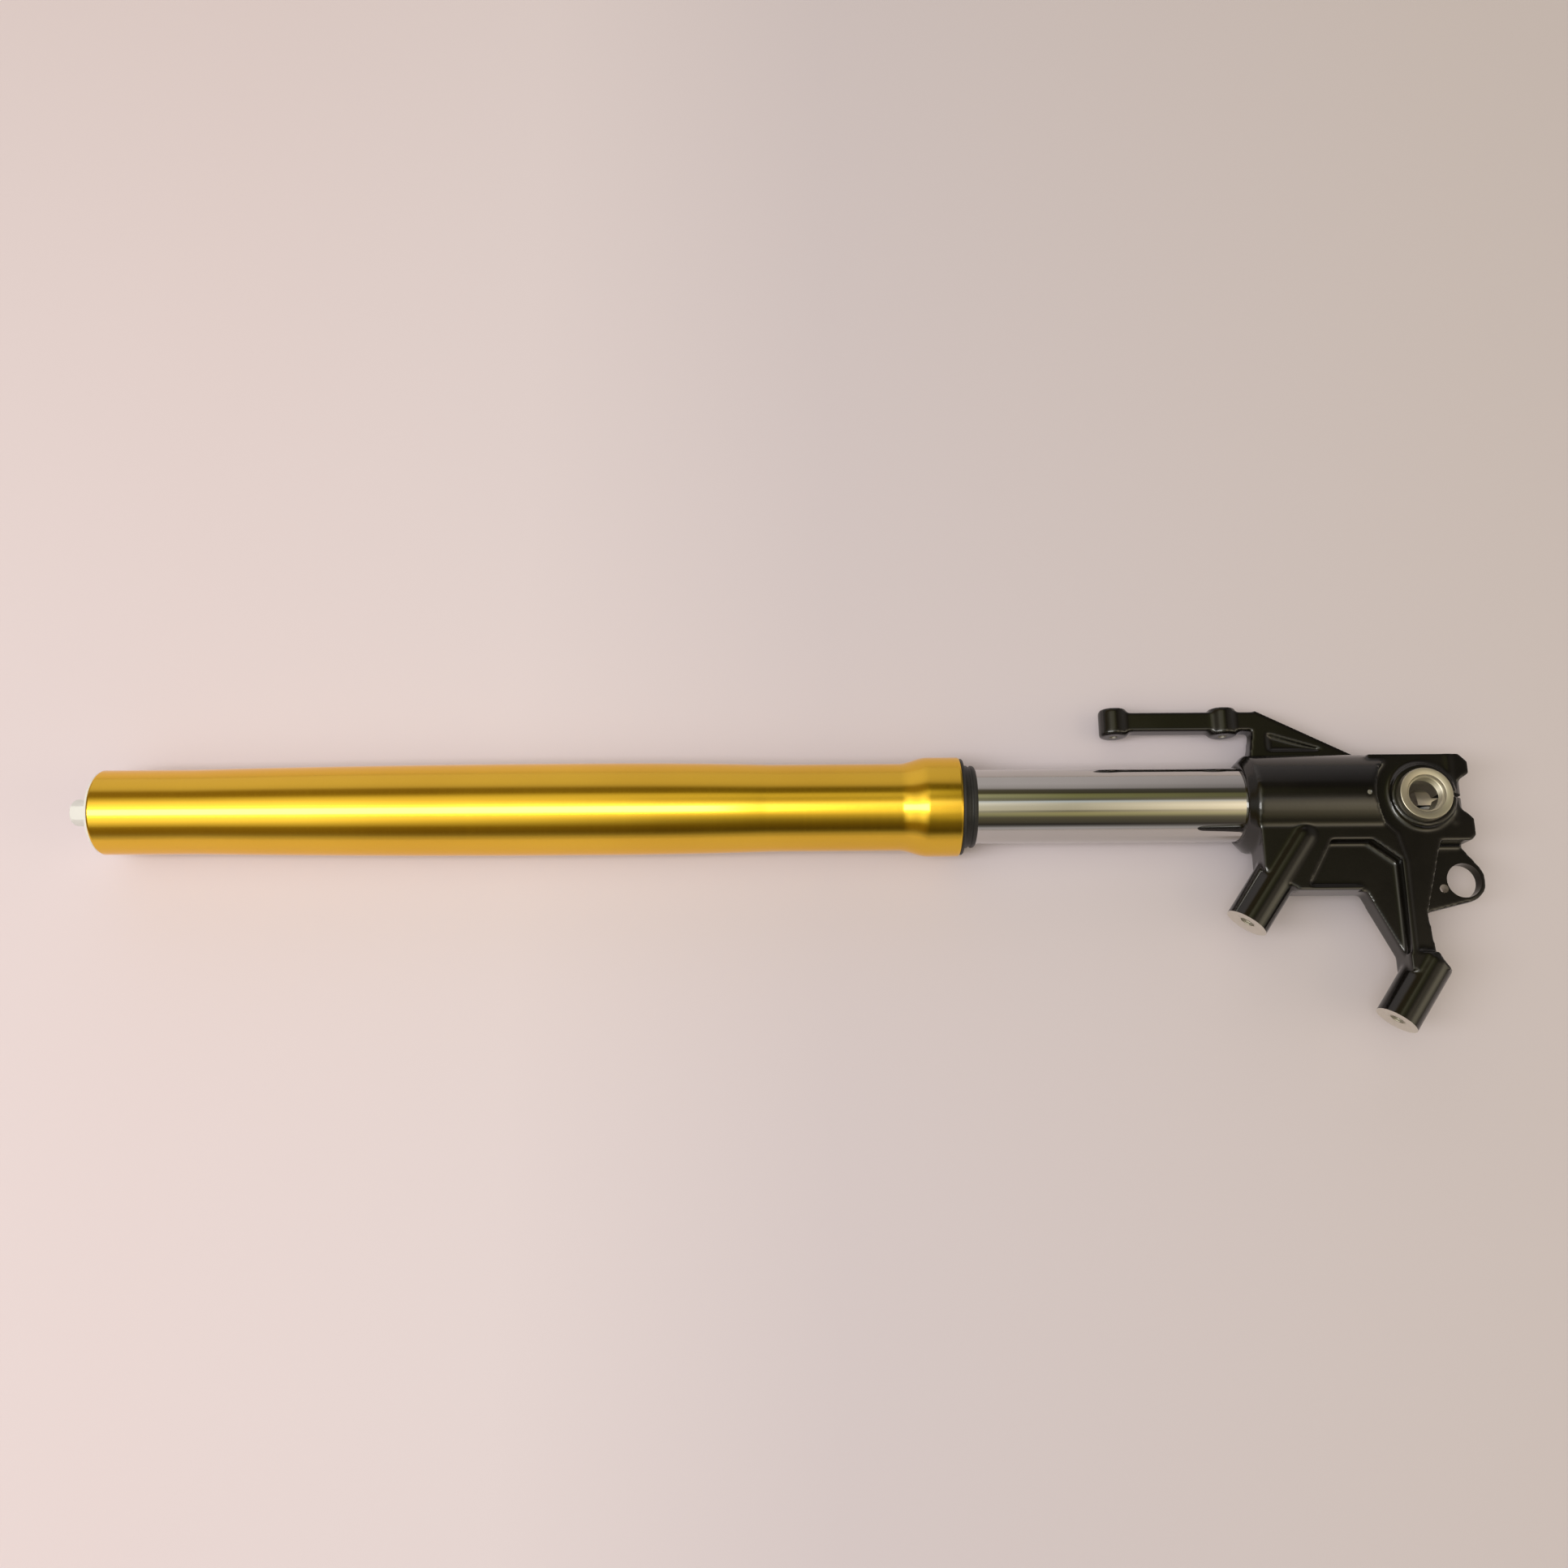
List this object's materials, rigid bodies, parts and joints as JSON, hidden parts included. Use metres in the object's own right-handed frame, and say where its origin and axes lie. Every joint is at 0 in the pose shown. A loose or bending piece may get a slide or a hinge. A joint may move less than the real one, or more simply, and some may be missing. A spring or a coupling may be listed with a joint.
{
  "type": "motorcycle front fork leg",
  "caption": "Upside-down telescopic front fork leg with gold outer tube, chromed inner tube and black axle casting with caliper posts and mudguard arm.",
  "frame": {"origin": "centre of the axle bore, on the axis of the tubes", "axes": "+X along the tubes from the top cap towards the axle end, +Z along the axle towards the wheel side, +Y towards the mudguard arm; the leg lies along the floor"},
  "size_m": [0.8522, 0.2034, 0.0607],
  "materials": {
    "gold_anodised": "satin gold anodised",
    "cap_aluminium": "turned, clear",
    "hard_chrome": "polished hard chrome",
    "cast_black": "satin black paint",
    "machined_aluminium": "machined",
    "zinc_steel": "zinc plated",
    "rod_chrome": "polished",
    "spring_steel": "shot peened",
    "black_rubber": "matte",
    "bush_bronze": "dark lined bronze",
    "copper": "soft copper",
    "ring_plastic": "filled fluoropolymer"
  },
  "bodies": {
    "fork_upper": {"outer_tube": "gold_anodised", "fork_cap": "cap_aluminium", "cap_seal_ring": "black_rubber", "damper_rod": "rod_chrome", "rod_lock_nut": "zinc_steel", "rebound_piston": "machined_aluminium", "piston_ring": "ring_plastic", "piston_nut": "machined_aluminium", "top_out_spring": "spring_steel", "guide_bush": "bush_bronze", "backup_ring": "zinc_steel", "oil_seal": "black_rubber", "seal_garter_spring": "spring_steel", "stopper_ring": "zinc_steel", "dust_seal": "black_rubber"},
    "fork_lower": {"inner_tube": "hard_chrome", "slide_bush": "bush_bronze", "axle_casting": "cast_black", "axle_collar": "machined_aluminium", "casting_seal_ring": "black_rubber", "lock_screw": "zinc_steel", "bottom_bolt": "zinc_steel", "bolt_washer": "copper", "cartridge_tube": "machined_aluminium", "cartridge_head": "machined_aluminium", "cartridge_foot": "machined_aluminium", "base_valve": "machined_aluminium", "lower_spring_seat": "zinc_steel", "pinch_bolts": "zinc_steel"},
    "preload_carrier": {"preload_plate": "zinc_steel", "spacer_washer": "zinc_steel", "preload_spacer": "machined_aluminium", "upper_spring_seat": "zinc_steel", "main_spring": "spring_steel"},
    "preload_bolt": {"preload_adjuster": "cap_aluminium"},
    "rebound_screw": {"rebound_adjuster": "zinc_steel", "rebound_push_rod": "rod_chrome"}
  },
  "joints": [
    {"name": "fork_stroke", "type": "slide", "parent": "fork_upper", "child": "fork_lower", "axis": [-1, 0, 0], "range_m": [0, 0.125], "stiffness_N_per_m": 9000, "springref_m": -0.012, "deforming": ["main_spring"]},
    {"name": "preload_slide", "type": "slide", "parent": "fork_upper", "child": "preload_carrier", "axis": [1, 0, 0], "range_m": [0, 0.01], "deforming": ["main_spring"]},
    {"name": "preload_turn", "type": "hinge", "parent": "preload_carrier", "child": "preload_bolt", "pos_m": [-0.8, 0, 0], "axis": [1, 0, 0], "range_deg": [0, 2881]},
    {"name": "rebound_turn", "type": "hinge", "parent": "preload_bolt", "child": "rebound_screw", "pos_m": [-0.8, 0, 0], "axis": [1, 0, 0], "range_deg": [0, 900]}
  ],
  "couplings": [
    {"joint": "preload_turn", "follows": "preload_slide", "rad_per_m": 5026.5}
  ]
}
